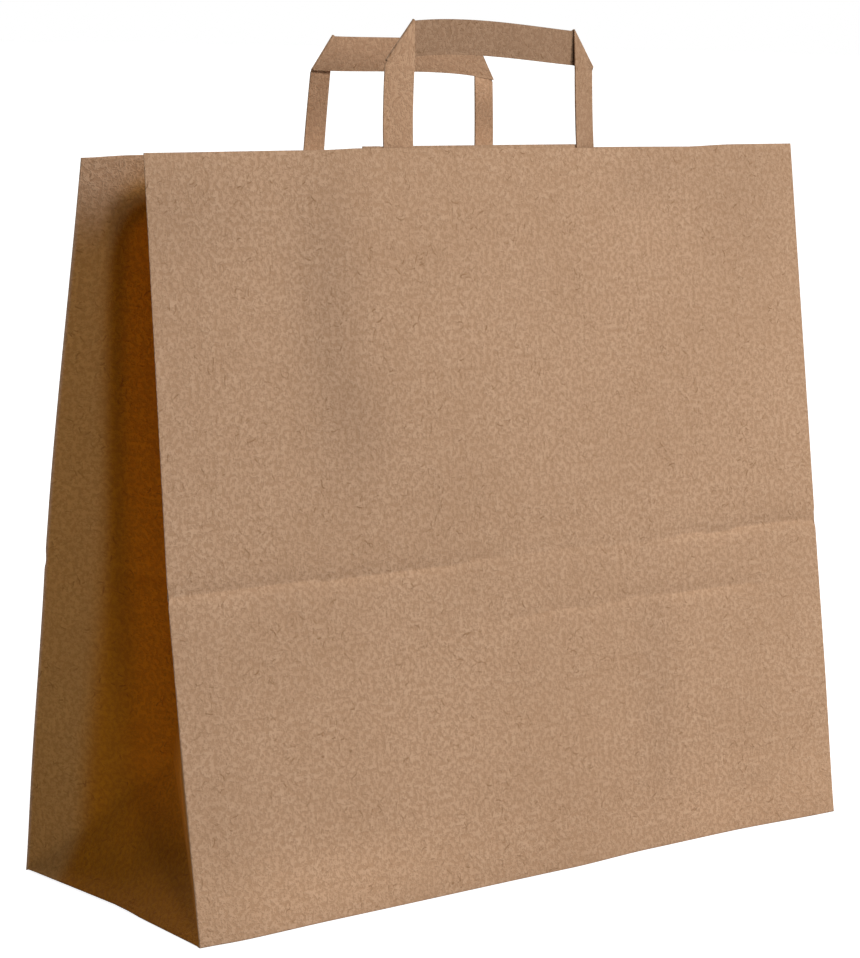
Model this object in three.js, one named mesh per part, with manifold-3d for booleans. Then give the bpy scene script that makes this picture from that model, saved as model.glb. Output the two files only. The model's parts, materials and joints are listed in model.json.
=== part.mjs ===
import * as THREE from 'three';
import { mergeVertices } from 'three/addons/utils/BufferGeometryUtils.js';
import Module from 'manifold-3d';

const wasm = await Module();
wasm.setup();

// A paper carrier bag with folded side gussets and two flat strip handles.
// Millimetres, +Z up, the origin on the floor under the middle of the base.
// The wide front wall faces -Y, and the gussets are at -X and +X.

// The sheet that the bag is folded from
const bagWidth = 500;
const gussetDepth = 180;
const sheetHeight = 433.2;
const creaseHeight = 191;
const paper = 0.25;

// How the opened bag stands: how far in from its base line each wall leans, at the
// crease and at the rim. A pair is for the left and the right edge, as the walls are
// a little twisted. The rear rim is a bow with a slope at each corner, and hangs lower.
const frontCreaseIn = [33.4, 29.3];
const frontRimIn = [61.2, 65.4];
const rearCreaseIn = 21;
const rearRimIn = [56.4, 24];
const rearRimSlope = [0.037, -0.175];
const rearRimDrop = 5.9;
const bowStartsBelowRim = 60;
const bowColumnStep = 12.5;

// The glued seam down the rear wall, where the sheet is double
const seamLap = 20;
const seamStep = 0.5;
const seamThickness = 3;

// The block base. A gusset's foot stands a little inside the straight base line.
const flapLap = 15;
const footInset = 4;

// Handle strips, folded from several layers
const stripWidth = 20.5;
const stripThick = 0.9;
const stripLapInset = 3.5;
const stripLapStep = 0.15;
const legSpacing = 147.5;
const legGlued = 38;
const foldGap = 0.3;
const foldClear = 1.5;
const turnSteps = 8;
const strapSteps = 14;

// Opening the bag turns each leg: none at this depth below the rim, all at the rim
const twistDepth = 24;
const twistSteps = 7;
const rimClear = 0.5;
const leanGrowth = 1.5;

// Patches that hold the legs to the walls inside the mouth
const patchWidth = 180;
const patchHeight = 45;
const patchSlope = 0.6;
const patchSlopeRun = 3;

// Room left between glued pieces
const glueGap = 0.3;

// Each handle by its first and second leg, counted along the rim as seen from
// inside: height of the fold, turn in degrees, lean into the bag, slope of the
// strap, place along the rim, and how far the patch stands above the rim
const frontHandle = {
  rise: [50.4, 48.7],
  twist: [-5, 18.5],
  lean: [-6, -3],
  slope: [0.13, 0.05],
  shift: 1.5,
  patchShift: -9.5,
  patchRise: [2.2, 2],
};
const rearHandle = {
  rise: [45.4, 52],
  twist: [12, 10],
  lean: [-1.5, 1.5],
  slope: [0.12, -0.03],
  shift: 3.9,
  patchShift: 0,
  patchRise: [0.4, 0.4],
};

const halfWidth = bagWidth / 2;
const halfDepth = gussetDepth / 2;

const kraft = { color: 0xba9678, roughness: 0.92, metalness: 0 };
const kraftStrip = { color: 0xae8b6b, roughness: 0.9, metalness: 0 };

const up = new THREE.Vector3(0, 0, 1);

function lerp(from, to, k) {
  return from + (to - from) * k;
}

function easeBetween(low, high, value) {
  return THREE.MathUtils.smoothstep(value, low, high);
}

function add(point, ...steps) {
  const sum = point.clone();
  for (const [direction, amount] of steps) {
    sum.addScaledVector(direction, amount);
  }
  return sum;
}

// Height gained by a stretch of sheet that also moves sideways
function climb(length, sideways) {
  return Math.sqrt(length * length - sideways * sideways);
}

// The standing bag

// A point of a wall: straight from base to crease and from crease to rim.
// Above the rim it runs on in the plane of the wall.
function wallPoint(x, height, baseY, creaseY, rimY, drop) {
  const creaseZ = climb(creaseHeight, creaseY - baseY);
  if (height <= creaseHeight) {
    const k = height / creaseHeight;
    return new THREE.Vector3(x, lerp(baseY, creaseY, k), creaseZ * k);
  }
  const upper = sheetHeight - creaseHeight;
  const rimZ = creaseZ + climb(upper, rimY - creaseY) - drop;
  const k = (height - creaseHeight) / upper;
  return new THREE.Vector3(x, lerp(creaseY, rimY, k), lerp(creaseZ, rimZ, k));
}

function frontPoint(x, height) {
  const k = x / bagWidth + 0.5;
  const creaseY = lerp(...frontCreaseIn, k) - halfDepth;
  const rimY = lerp(...frontRimIn, k) - halfDepth;
  return wallPoint(x, height, -halfDepth, creaseY, rimY, 0);
}

// Seen from above the rear rim is a bow, a cubic with a slope at each corner
function rearBow(x) {
  const k = x / bagWidth + 0.5;
  const [start, end] = rearRimIn.map((inward) => halfDepth - inward);
  const nearStart = start + rearRimSlope[0] * bagWidth / 3;
  const nearEnd = end - rearRimSlope[1] * bagWidth / 3;
  const middle = lerp(nearStart, nearEnd, k);
  const before = lerp(lerp(start, nearStart, k), middle, k);
  const after = lerp(middle, lerp(nearEnd, end, k), k);
  return lerp(before, after, k);
}

function rearPoint(x, height) {
  const creaseY = halfDepth - rearCreaseIn;
  const rimY = rearBow(x);
  const free = wallPoint(x, sheetHeight, halfDepth, creaseY, rimY, 0);
  const drop = free.z - frontPoint(x, sheetHeight).z + rearRimDrop;
  return wallPoint(x, height, halfDepth, creaseY, rimY, drop);
}

// The inward fold of a gusset lies half a gusset from both its edges at each
// height, and as far up the sheet from the fold point below it as the sheet is long
function foldPoint(x, height, below, heightBelow) {
  const front = frontPoint(x, height);
  const rear = rearPoint(x, height);
  const middle = add(front.clone().multiplyScalar(0.5), [rear, 0.5]);
  const edgeToEdge = rear.clone().sub(front);
  const reach = climb(halfDepth, edgeToEdge.length() / 2);
  const inward = new THREE.Vector3(-Math.sign(x), 0, 0);
  const across = edgeToEdge.normalize();
  const rising = inward.clone().cross(across).normalize();
  rising.multiplyScalar(Math.sign(rising.z));
  const toMiddle = middle.clone().sub(below);
  const along = toMiddle.dot(inward);
  const over = toMiddle.dot(rising);
  const sheet = height - heightBelow;
  const rest = (sheet * sheet - toMiddle.lengthSq() - reach * reach) / (2 * reach);
  const angle = Math.atan2(over, along) - Math.acos(rest / Math.hypot(along, over));
  return add(middle, [inward, reach * Math.cos(angle)], [rising, reach * Math.sin(angle)]);
}

// Heights up the sheet where the bag folds: base, tip of the base triangle,
// crease and rim. One more row follows the bow of the rear wall below its rim.
const folds = [0, halfDepth, creaseHeight, sheetHeight];
const bowStart = sheetHeight - bowStartsBelowRim;
const levels = [0, halfDepth, creaseHeight, bowStart, sheetHeight];

function gussetColumn(x) {
  const points = [new THREE.Vector3(x - Math.sign(x) * footInset, 0, 0)];
  for (let j = 1; j < folds.length; j += 1) {
    points.push(foldPoint(x, folds[j], points[j - 1], folds[j - 1]));
  }
  return levels.map((height) => {
    const above = Math.max(1, folds.findIndex((fold) => fold >= height));
    const k = (height - folds[above - 1]) / (folds[above] - folds[above - 1]);
    return points[above - 1].clone().lerp(points[above], k);
  });
}

function wallColumn(pointAt, x) {
  return levels.map((height) => pointAt(x, height));
}

// Solids from sheets

function pushQuad(positions, a, b, c, d, otherDiagonal = false) {
  const corners = otherDiagonal ? [b, c, d, b, d, a] : [a, b, c, a, c, d];
  for (const corner of corners) {
    positions.push(corner.x, corner.y, corner.z);
  }
}

function geometryFrom(positions) {
  const geometry = new THREE.BufferGeometry();
  geometry.setAttribute('position', new THREE.Float32BufferAttribute(positions, 3));
  geometry.computeVertexNormals();
  return geometry;
}

// A closed sheet solid between two grids of points, a ring or an open strip
function sheetSolid(outer, inner, isRing, turnDiagonal = () => false) {
  const positions = [];
  const columns = outer.length;
  const rows = outer[0].length;
  const cells = isRing ? columns : columns - 1;
  for (let i = 0; i < cells; i += 1) {
    const n = (i + 1) % columns;
    for (let j = 0; j < rows - 1; j += 1) {
      const turn = turnDiagonal(i, j);
      pushQuad(positions, outer[i][j], outer[n][j], outer[n][j + 1], outer[i][j + 1], turn);
      pushQuad(positions, inner[n][j], inner[i][j], inner[i][j + 1], inner[n][j + 1], !turn);
    }
    const top = rows - 1;
    pushQuad(positions, outer[n][0], outer[i][0], inner[i][0], inner[n][0]);
    pushQuad(positions, outer[i][top], outer[n][top], inner[n][top], inner[i][top]);
  }
  if (!isRing) {
    const last = columns - 1;
    for (let j = 0; j < rows - 1; j += 1) {
      pushQuad(positions, outer[0][j], outer[0][j + 1], inner[0][j + 1], inner[0][j]);
      pushQuad(positions, outer[last][j], inner[last][j], inner[last][j + 1], outer[last][j + 1]);
    }
  }
  return geometryFrom(positions);
}

// The move that keeps a fold's corner half a sheet from all the faces round it,
// by least squares. A corner of the base also stays level, which weighs far more.
const levelWeight = 1000;
const steady = 1e-4;

function mitre(normals, staysLevel) {
  const planes = normals.map((normal) => ({ normal, distance: 1, weight: 1 }));
  if (staysLevel) {
    planes.push({ normal: up, distance: 0, weight: levelWeight });
  }
  const sums = [steady, 0, 0, 0, steady, 0, 0, 0, steady];
  const target = new THREE.Vector3();
  for (const { normal, distance, weight } of planes) {
    const n = normal.toArray();
    for (let k = 0; k < sums.length; k += 1) {
      sums[k] += weight * n[Math.floor(k / 3)] * n[k % 3];
    }
    target.addScaledVector(normal, weight * distance);
  }
  const inverse = new THREE.Matrix3().fromArray(sums).invert();
  return target.applyMatrix3(inverse).multiplyScalar(paper / 2);
}

function faceNormal(a, b, c) {
  return new THREE.Triangle(a, b, c).getNormal(new THREE.Vector3());
}

// Closed solids, which can be joined

function toSolid(geometry) {
  const bare = geometry.clone();
  bare.deleteAttribute('normal');
  bare.deleteAttribute('uv');
  const merged = mergeVertices(bare, 1e-5);
  return new wasm.Manifold(new wasm.Mesh({
    numProp: 3,
    vertProperties: new Float32Array(merged.attributes.position.array),
    triVerts: new Uint32Array(merged.index.array),
  }));
}

function toGeometry(solid) {
  const mesh = solid.getMesh();
  const geometry = new THREE.BufferGeometry();
  geometry.setAttribute('position', new THREE.BufferAttribute(mesh.vertProperties, 3));
  geometry.setIndex(new THREE.BufferAttribute(mesh.triVerts, 1));
  const flat = geometry.toNonIndexed();
  flat.computeVertexNormals();
  return flat;
}

// Bag body: the standing walls and the folded base are one sheet

// Columns of a wide wall, closer together where its handle is glued
function wideColumns() {
  const steps = Math.ceil(patchWidth / 2 / bowColumnStep);
  const beside = [];
  for (let k = 1; k <= steps; k += 1) {
    beside.push(k * bowColumnStep);
  }
  beside.push((steps + 3) * bowColumnStep, (steps + 7) * bowColumnStep);
  return [...beside.map((x) => -x).reverse(), 0, ...beside];
}

const seamEdge = halfWidth - seamLap;
const seamColumns = [halfWidth - seamStep, seamEdge, seamEdge - seamStep];

function wallRing() {
  const ring = [];
  const addColumn = (points, kind) => ring.push({ points, kind });
  addColumn(wallColumn(frontPoint, -halfWidth), 'edge');
  for (const x of wideColumns()) {
    addColumn(wallColumn(frontPoint, x), 'wall');
  }
  addColumn(wallColumn(frontPoint, halfWidth), 'edge');
  addColumn(gussetColumn(halfWidth), 'fold');
  addColumn(wallColumn(rearPoint, halfWidth), 'edge');
  addColumn(wallColumn(rearPoint, seamColumns[0]), 'lap');
  addColumn(wallColumn(rearPoint, seamColumns[1]), 'lap');
  addColumn(wallColumn(rearPoint, seamColumns[2]), 'wall');
  for (const x of wideColumns()) {
    addColumn(wallColumn(rearPoint, -x), 'wall');
  }
  addColumn(wallColumn(rearPoint, -halfWidth), 'edge');
  addColumn(gussetColumn(-halfWidth), 'fold');
  return ring;
}

// The base triangle's folds run from the base corners up to its tip, so the
// lowest cells after an inward fold are split along the other diagonal
function walls() {
  const ring = wallRing();
  const count = ring.length;
  const turnDiagonal = (i) => ring[i].kind === 'fold';
  const normalsAt = ring.map(() => levels.map(() => []));
  for (let i = 0; i < count; i += 1) {
    const n = (i + 1) % count;
    for (let j = 0; j < levels.length - 1; j += 1) {
      const corners = [[i, j], [n, j], [n, j + 1], [i, j + 1]];
      const order = turnDiagonal(i) ? [[1, 2, 3], [1, 3, 0]] : [[0, 1, 2], [0, 2, 3]];
      for (const triangle of order) {
        const places = triangle.map((k) => corners[k]);
        const normal = faceNormal(...places.map(([c, r]) => ring[c].points[r]));
        for (const [c, r] of places) {
          normalsAt[c][r].push(normal);
        }
      }
    }
  }
  const offsets = normalsAt.map((column) => column.map((normals, j) => mitre(normals, j === 0)));
  const shifted = (amountOf) => ring.map(({ points, kind }, i) => (
    points.map((point, j) => add(point, [offsets[i][j], amountOf(kind)]))
  ));
  const outer = shifted((kind) => (kind === 'lap' ? seamThickness : 1));
  const inner = shifted(() => -1);
  return sheetSolid(outer, inner, true, turnDiagonal);
}

function layer(corners, lift) {
  const shape = new THREE.Shape(corners.map(([x, y]) => new THREE.Vector2(x, y)));
  const geometry = new THREE.ExtrudeGeometry(shape, { depth: paper, bevelEnabled: false });
  return geometry.translate(0, 0, lift);
}

// The base is closed like a parcel: two end tucks first, then two long flaps,
// the rear one last and lowest. Where a flap's end is folded at 45 degrees it
// is double.
function baseLayers() {
  const flap = halfDepth + flapLap;
  const layers = [];
  for (const side of [-1, 1]) {
    const edge = side * halfWidth;
    const end = side * (halfWidth - flap);
    const tuck = [
      [end, -halfDepth],
      [edge, -halfDepth],
      [edge - side * footInset, 0],
      [edge, halfDepth],
      [end, halfDepth],
    ];
    const doubled = [[end, halfDepth], [edge, halfDepth], [end, halfDepth - flap]];
    const lift = side > 0 ? 0 : paper;
    const free = side * (halfDepth - flap);
    const trapezoid = [
      [-halfWidth, side * halfDepth],
      [halfWidth, side * halfDepth],
      [halfWidth - flap, free],
      [flap - halfWidth, free],
    ];
    layers.push(layer(tuck, 2 * paper), layer(doubled, paper), layer(trapezoid, lift));
  }
  return layers;
}

function bagBody() {
  let solid = toSolid(walls());
  for (const geometry of baseLayers()) {
    solid = solid.add(toSolid(geometry));
  }
  return toGeometry(solid);
}

// Handles

// Both walls seen from inside the bag: along the rim, up from it and inward
function wallFrame(facing, along, rise) {
  const pointAt = facing > 0 ? frontPoint : rearPoint;
  const at = (a, b) => pointAt(facing * a, sheetHeight + b);
  const point = at(along, rise);
  const across = at(along + 1, rise).sub(point).normalize();
  const rising = at(along, rise + 1).sub(point).normalize();
  const inward = rising.clone().cross(across).normalize();
  return { point, across, rising, inward };
}

const legLift = paper / 2 + glueGap + stripThick / 2;
const rowsBelowRim = [];
for (let k = twistSteps; k > 0; k -= 1) {
  rowsBelowRim.push(-k * twistDepth / twistSteps);
}
rowsBelowRim.push(-rimClear);

function legTwist(handle, leg, rise) {
  const full = THREE.MathUtils.degToRad(handle.twist[leg]);
  return full * easeBetween(-twistDepth, 0, rise);
}

function legPlace(handle, leg) {
  return handle.shift + (leg === 0 ? -1 : 1) * legSpacing / 2;
}

// One cross line of a strip: its middle, half its width and its seam side
function legRung(facing, handle, leg, rise) {
  const { point, across, rising, inward } = wallFrame(facing, legPlace(handle, leg), rise);
  const twist = legTwist(handle, leg, rise);
  const outToIn = add(new THREE.Vector3(), [across, Math.cos(twist)], [inward, Math.sin(twist)]);
  outToIn.multiplyScalar(leg === 0 ? 1 : -1);
  const normal = add(new THREE.Vector3(), [inward, Math.cos(twist)], [across, -Math.sin(twist)]);
  const standOff = legLift + Math.abs(Math.sin(twist)) * stripWidth / 2;
  const leaning = handle.lean[leg] * Math.max(0, rise / handle.rise[leg]) ** leanGrowth;
  const middle = add(point, [inward, standOff + leaning]);
  return { middle, half: outToIn.multiplyScalar(stripWidth / 2), normal, rising };
}

// The strip turns over along a diagonal, so its outer edge becomes the lower one
function foldRungs(facing, handle, leg) {
  const steepness = Math.tan(Math.PI / 4 + Math.atan(handle.slope[leg]) / 2);
  const foldRise = handle.rise[leg] + stripWidth / 2 * steepness;
  const { middle, half, normal, rising } = legRung(facing, handle, leg, foldRise);
  const diagonal = add(half, [rising, stripWidth / 2 * steepness]);
  const toInside = half.clone().normalize();
  const away = add(new THREE.Vector3(), [rising, 1], [toInside, -steepness]).normalize();
  const radius = (stripThick + foldGap) / 2;
  const rungs = [];
  for (let k = 0; k <= turnSteps; k += 1) {
    const turn = Math.PI * k / turnSteps;
    const over = radius * (1 - Math.cos(turn));
    rungs.push({
      middle: add(middle, [normal, over], [away, radius * Math.sin(turn)]),
      half: diagonal,
      normal: add(new THREE.Vector3(), [normal, Math.cos(turn)], [away, -Math.sin(turn)]),
    });
  }
  return rungs;
}

function legRungs(facing, handle, leg) {
  const rowsAboveRim = [0.06, 0.25, 0.55, 0.96].map((k) => k * handle.rise[leg]);
  const stops = [-legGlued, ...rowsBelowRim, ...rowsAboveRim];
  const rungs = stops.map((rise) => legRung(facing, handle, leg, rise));
  return [...rungs, ...foldRungs(facing, handle, leg)];
}

// The strap bows between its two folds and leaves each in line with its leg
function strapRungs(start, end, handle) {
  const heading = start.half.clone().setZ(0).normalize();
  const arriving = end.half.clone().setZ(0).normalize().negate();
  const chord = end.middle.distanceTo(start.middle);
  const curve = new THREE.CubicBezierCurve3(
    start.middle,
    add(start.middle, [heading, chord / 3], [up, handle.slope[0] * chord / 3]),
    add(end.middle, [arriving, -chord / 3], [up, handle.slope[1] * chord / 3]),
    end.middle,
  );
  const clear = (stripWidth / 2 + foldClear) / chord;
  const rungs = [];
  for (let k = 0; k <= strapSteps; k += 1) {
    const t = lerp(clear, 1 - clear, k / strapSteps);
    const tangent = curve.getTangent(t);
    const normal = tangent.clone().cross(up).normalize();
    const half = normal.clone().cross(tangent).multiplyScalar(stripWidth / 2);
    rungs.push({ middle: curve.getPoint(t), half, normal });
  }
  return rungs;
}

// Section of the strip: the last layer's edge is a step near one side
function stripSection() {
  const back = -stripThick / 2;
  const face = stripThick / 2;
  const lapAt = -1 + 2 * stripLapInset / stripWidth;
  const lower = face - stripLapStep;
  return [[-1, back], [1, back], [1, face], [lapAt, face], [lapAt, lower], [-1, lower]];
}

function stripSolid(rungs) {
  const section = stripSection();
  const count = section.length;
  const rows = rungs.map(({ middle, half, normal }) => (
    section.map(([across, through]) => add(middle, [half, across], [normal, through]))
  ));
  const positions = [];
  for (let i = 0; i < rows.length - 1; i += 1) {
    for (let j = 0; j < count; j += 1) {
      const n = (j + 1) % count;
      pushQuad(positions, rows[i][j], rows[i][n], rows[i + 1][n], rows[i + 1][j]);
    }
  }
  const flat = section.map(([across, through]) => new THREE.Vector2(across * stripWidth, through));
  const start = rows[0];
  const end = rows.at(-1);
  for (const [a, b, c] of THREE.ShapeUtils.triangulateShape(flat, [])) {
    for (const corner of [start[c], start[b], start[a], end[a], end[b], end[c]]) {
      positions.push(corner.x, corner.y, corner.z);
    }
  }
  return geometryFrom(positions);
}

function handleStrip(facing, handle) {
  const first = legRungs(facing, handle, 0);
  const second = legRungs(facing, handle, 1);
  const strap = strapRungs(first.at(-1), second.at(-1), handle);
  return stripSolid([...first, ...strap, ...second.reverse()]);
}

// Patches

// How far a patch stands off the wall: on the wall, or over a leg and its twist
function patchLift(handle, along, rise) {
  let lift = paper / 2 + glueGap + paper / 2;
  for (const leg of [0, 1]) {
    const side = along - legPlace(handle, leg);
    const half = stripWidth / 2;
    const twist = legTwist(handle, leg, rise);
    const across = THREE.MathUtils.clamp(side, -half, half);
    const back = legLift + Math.abs(Math.sin(twist)) * half + across * Math.sin(twist);
    const past = Math.max(0, Math.abs(side) - half - glueGap);
    const over = back + stripThick / 2 + glueGap + paper / 2 - patchSlope * past;
    lift = Math.max(lift, over);
  }
  return lift;
}

// Columns at the patch's ends and at each change of slope beside the legs
function patchColumns(handle) {
  const half = stripWidth / 2;
  const start = handle.patchShift - patchWidth / 2;
  const end = handle.patchShift + patchWidth / 2;
  const columns = [start, handle.patchShift, end];
  for (const leg of [0, 1]) {
    for (const side of [-1, 1]) {
      for (const past of [0, glueGap, patchSlopeRun]) {
        columns.push(legPlace(handle, leg) + side * (half + past));
      }
    }
  }
  return columns.filter((x) => x >= start && x <= end).sort((a, b) => a - b);
}

function patchStrip(facing, handle) {
  const outer = [];
  const inner = [];
  for (const along of patchColumns(handle)) {
    const k = (along - handle.patchShift) / patchWidth + 0.5;
    const top = lerp(handle.patchRise[0], handle.patchRise[1], k);
    const column = [-patchHeight, ...rowsBelowRim, top].map((rise) => {
      const { point, inward } = wallFrame(facing, along, rise);
      const lift = patchLift(handle, along, rise);
      return [add(point, [inward, lift - paper / 2]), add(point, [inward, lift + paper / 2])];
    });
    outer.push(column.map(([wallSide]) => wallSide));
    inner.push(column.map(([, bagSide]) => bagSide));
  }
  return sheetSolid(outer, inner, false);
}

// The bag

function part(name, geometry, finish) {
  const mesh = new THREE.Mesh(geometry, new THREE.MeshStandardMaterial(finish));
  mesh.name = name;
  return mesh;
}

const bag = new THREE.Group();
bag.add(part('bag_body', bagBody(), kraft));
for (const [side, facing, handle] of [['front', 1, frontHandle], ['rear', -1, rearHandle]]) {
  bag.add(part(`${side}_handle`, handleStrip(facing, handle), kraftStrip));
  bag.add(part(`${side}_handle_patch`, patchStrip(facing, handle), kraft));
}

export default bag;
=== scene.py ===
# %% [markdown]
# A paper carrier bag is one flat sheet of kraft that a machine folds into a tube with tucked-in
# sides and a block base. This script makes it the same way: a flat grid is laid out, and every
# point of it is then moved to its folded place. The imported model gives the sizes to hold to.

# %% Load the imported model
import json
import math
import bmesh
import bpy
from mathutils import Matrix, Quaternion, Vector

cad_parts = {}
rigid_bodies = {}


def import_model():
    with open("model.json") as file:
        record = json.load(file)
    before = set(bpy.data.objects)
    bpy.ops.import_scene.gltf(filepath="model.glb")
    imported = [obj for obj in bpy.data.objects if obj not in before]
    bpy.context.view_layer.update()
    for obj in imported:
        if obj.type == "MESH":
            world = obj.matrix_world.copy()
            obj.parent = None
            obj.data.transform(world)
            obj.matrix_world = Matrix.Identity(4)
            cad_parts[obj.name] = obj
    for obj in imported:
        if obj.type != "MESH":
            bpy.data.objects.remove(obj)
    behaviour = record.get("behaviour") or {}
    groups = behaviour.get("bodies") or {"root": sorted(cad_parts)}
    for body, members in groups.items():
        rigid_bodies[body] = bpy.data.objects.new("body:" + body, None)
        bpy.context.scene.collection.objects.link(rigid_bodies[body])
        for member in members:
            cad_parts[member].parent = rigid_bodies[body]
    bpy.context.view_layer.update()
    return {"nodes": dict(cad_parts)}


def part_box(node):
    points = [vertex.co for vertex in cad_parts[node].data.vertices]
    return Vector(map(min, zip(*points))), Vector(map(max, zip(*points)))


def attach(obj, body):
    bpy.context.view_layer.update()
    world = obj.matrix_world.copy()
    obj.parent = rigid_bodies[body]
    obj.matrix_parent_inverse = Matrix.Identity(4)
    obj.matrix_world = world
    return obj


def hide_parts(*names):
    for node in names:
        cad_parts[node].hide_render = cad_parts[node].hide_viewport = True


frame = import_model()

body_low, body_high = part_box("bag_body")
print("bag body in the frame:", [round(v, 4) for v in body_high - body_low])

# %% [markdown]
# The camera stands in front of the bag's left edge, a little above the rim, and looks slightly
# down. Its place was worked out from the edges of the base and rim, and a long lens keeps the
# upright edges nearly parallel. It is made first so that every later step can be looked at.

# %% Camera
CAMERA_PLACE = Vector((-1.14101, -1.37967, 0.50859))
CAMERA_TURN = math.radians(39.04)
CAMERA_TILT = math.radians(-8.96)
CAMERA_ROLL = math.radians(1.36)
FOCAL_PIXELS = 2975.4
LONG_SIDE_PIXELS = 958
SENSOR = 36.0

camera_data = bpy.data.cameras.new("camera")
camera_data.sensor_width = SENSOR
camera_data.lens = FOCAL_PIXELS / LONG_SIDE_PIXELS * SENSOR
camera = bpy.data.objects.new("camera", camera_data)
bpy.context.scene.collection.objects.link(camera)
bpy.context.scene.camera = camera
sight = Vector((
    math.sin(CAMERA_TURN) * math.cos(CAMERA_TILT),
    math.cos(CAMERA_TURN) * math.cos(CAMERA_TILT),
    math.sin(CAMERA_TILT),
))
level = sight.to_track_quat("-Z", "Y")
camera.rotation_euler = (level @ Quaternion((0, 0, 1), CAMERA_ROLL)).to_euler()
camera.location = CAMERA_PLACE
print("camera lens in mm:", round(camera_data.lens, 1))

# %% [markdown]
# These are the sizes of the sheet and of its folds, in metres. The sheet runs round the bag from
# the rear right corner: rear wall, left gusset, front wall, right gusset, and a lap that is glued
# over the rear wall. Below the base line it has flaps, which close the base.

# %% Sizes of the sheet
BAG_WIDTH = 0.500
GUSSET = 0.180
HALF_GUSSET = GUSSET / 2
SHEET_HEIGHT = 0.4332
CREASE_HEIGHT = 0.191
SEAM_LAP = 0.020
FLAP = HALF_GUSSET + 0.015
FOOT_INSET = 0.004
PAPER = 0.00025
LAYER = 0.00026

# How far in from its base line a wall leans. A pair is for the left and the right edge.
FRONT_CREASE_IN = (0.0334, 0.0293)
FRONT_RIM_IN = (0.0612, 0.0654)
REAR_CREASE_IN = 0.021
REAR_RIM_IN = (0.0564, 0.024)
REAR_RIM_SLOPE = (0.037, -0.175)
REAR_RIM_DROP = 0.0059

HALF_WIDTH = BAG_WIDTH / 2
UPPER_SHEET = SHEET_HEIGHT - CREASE_HEIGHT
LEFT_GUSSET_AT = BAG_WIDTH
FRONT_AT = LEFT_GUSSET_AT + GUSSET
RIGHT_GUSSET_AT = FRONT_AT + BAG_WIDTH
LAP_AT = RIGHT_GUSSET_AT + GUSSET
SHEET_END = LAP_AT + SEAM_LAP
print("flat sheet:", SHEET_END, "by", SHEET_HEIGHT + FLAP)

# %% [markdown]
# A wall is straight from the base to the pressed crease and from the crease to the rim, and leans
# inward. The front wall is a little twisted, and its rim is straight. The rear rim bows back, as
# the mouth of an opened bag does, and a curve with a slope at each corner gives that bow.

# %% Where the two wide walls stand


def mix(start, end, k):
    return start + (end - start) * k


def ease(low, high, value):
    """0 up to low, 1 from high, with a smooth rise between them."""
    k = min(1.0, max(0.0, (value - low) / (high - low)))
    return k * k * (3 - 2 * k)


def hump(value, centre, width):
    """1 at the centre, falling smoothly to 0 on both sides."""
    return math.exp(-(((value - centre) / width) ** 2))


def climb(length, sideways):
    """Height gained by a stretch of sheet that also moves sideways."""
    return math.sqrt(length * length - sideways * sideways)


def wall_point(x, height, base_y, crease_y, rim_y, drop):
    crease_z = climb(CREASE_HEIGHT, crease_y - base_y)
    if height <= CREASE_HEIGHT:
        k = height / CREASE_HEIGHT
        return Vector((x, mix(base_y, crease_y, k), crease_z * k))
    rim_z = crease_z + climb(UPPER_SHEET, rim_y - crease_y) - drop
    k = (height - CREASE_HEIGHT) / UPPER_SHEET
    return Vector((x, mix(crease_y, rim_y, k), mix(crease_z, rim_z, k)))


def front_point(x, height):
    k = x / BAG_WIDTH + 0.5
    crease_y = mix(*FRONT_CREASE_IN, k) - HALF_GUSSET
    rim_y = mix(*FRONT_RIM_IN, k) - HALF_GUSSET
    return wall_point(x, height, -HALF_GUSSET, crease_y, rim_y, 0.0)


def rear_bow(x):
    k = x / BAG_WIDTH + 0.5
    start, end = (HALF_GUSSET - inward for inward in REAR_RIM_IN)
    near_start = start + REAR_RIM_SLOPE[0] * BAG_WIDTH / 3
    near_end = end - REAR_RIM_SLOPE[1] * BAG_WIDTH / 3
    middle = mix(near_start, near_end, k)
    before = mix(mix(start, near_start, k), middle, k)
    after = mix(middle, mix(near_end, end, k), k)
    return mix(before, after, k)


def rear_point(x, height):
    crease_y = HALF_GUSSET - REAR_CREASE_IN
    rim_y = rear_bow(x)
    free = wall_point(x, SHEET_HEIGHT, HALF_GUSSET, crease_y, rim_y, 0.0)
    drop = free.z - front_point(x, SHEET_HEIGHT).z + REAR_RIM_DROP
    return wall_point(x, height, HALF_GUSSET, crease_y, rim_y, drop)


print("rear rim at the middle:", [round(v, 4) for v in rear_point(0, SHEET_HEIGHT)])

# %% [markdown]
# A gusset is folded inward along its middle. Paper doesn't stretch, so the fold point at each
# height lies half a gusset from the front edge and from the rear edge, and its distance from the
# fold point below is the length of sheet between them. Three distances fix a point in space.
# At its foot the gusset has a flat triangle, whose tip is half a gusset up the sheet. The foot
# itself stands a little inside the straight base line.

# %% Where the gussets fold


def fold_point(x, height, below, height_below):
    front = front_point(x, height)
    rear = rear_point(x, height)
    middle = (front + rear) / 2
    edge_to_edge = rear - front
    reach = climb(HALF_GUSSET, edge_to_edge.length / 2)
    inward = Vector((-math.copysign(1, x), 0, 0))
    rising = inward.cross(edge_to_edge).normalized()
    rising *= math.copysign(1, rising.z)
    to_middle = middle - below
    along = to_middle.dot(inward)
    up = to_middle.dot(rising)
    sheet = height - height_below
    rest = (sheet**2 - to_middle.length_squared - reach**2) / (2 * reach)
    angle = math.atan2(up, along) - math.acos(rest / math.hypot(along, up))
    return middle + inward * reach * math.cos(angle) + rising * reach * math.sin(angle)


FOLD_HEIGHTS = (0.0, HALF_GUSSET, CREASE_HEIGHT, SHEET_HEIGHT)


def fold_line(x):
    points = [Vector((x - math.copysign(FOOT_INSET, x), 0, 0))]
    for j in range(1, len(FOLD_HEIGHTS)):
        points.append(fold_point(x, FOLD_HEIGHTS[j], points[-1], FOLD_HEIGHTS[j - 1]))
    return points


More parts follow.
